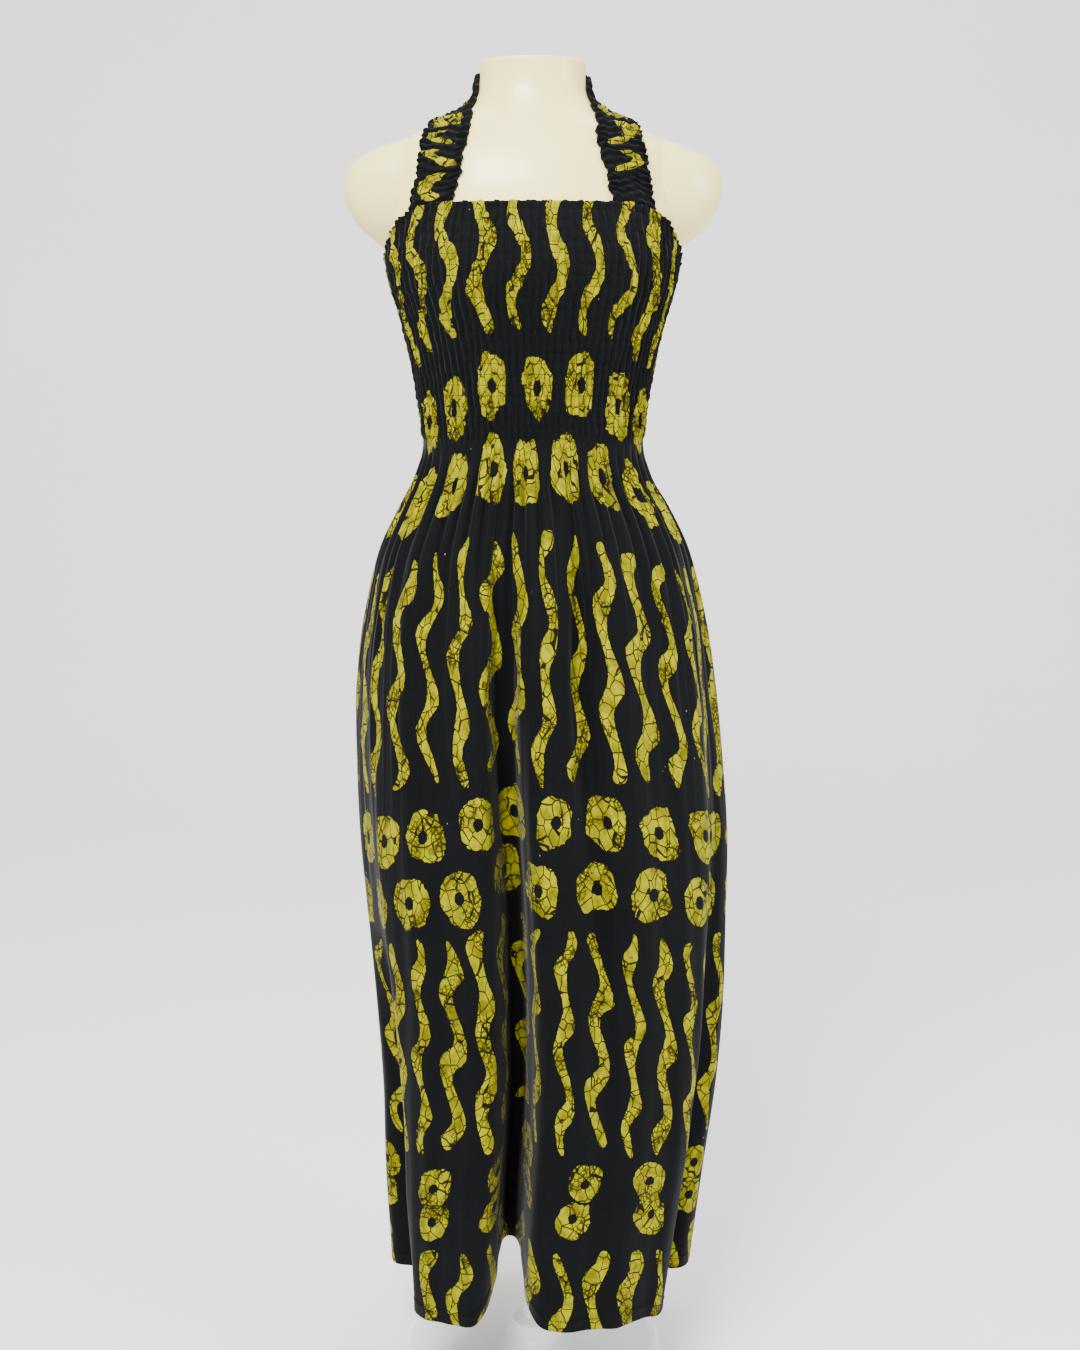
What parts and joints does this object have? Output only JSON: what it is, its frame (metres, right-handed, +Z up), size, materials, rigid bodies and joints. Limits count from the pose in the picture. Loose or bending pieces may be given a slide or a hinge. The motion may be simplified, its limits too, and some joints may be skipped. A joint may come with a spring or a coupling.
{
  "type": "halter maxi dress on an armless dress form with a stand",
  "caption": "Long halter dress with a shirred bodice, wide shirred neck straps and a full gathered skirt, worn by an armless dress form on a round stand.",
  "frame": {"origin": "the middle of the stand's underside, on the floor under the pole", "axes": "+Z up along the pole and the wearer's height; the dress faces -Y; +X is the viewer's right"},
  "size_m": [0.4209, 0.3145, 1.473],
  "materials": {
    "wax_print_cotton": "matt printed plain weave, black and yellow",
    "form_plastic": "smooth cream gloss",
    "stand_steel": "white gloss"
  },
  "bodies": {
    "root": {"dress_front": "wax_print_cotton", "dress_back": "wax_print_cotton", "strap_left": "wax_print_cotton", "strap_right": "wax_print_cotton", "form_torso": "form_plastic", "form_pole": "stand_steel", "form_base": "stand_steel"}
  },
  "joints": []
}
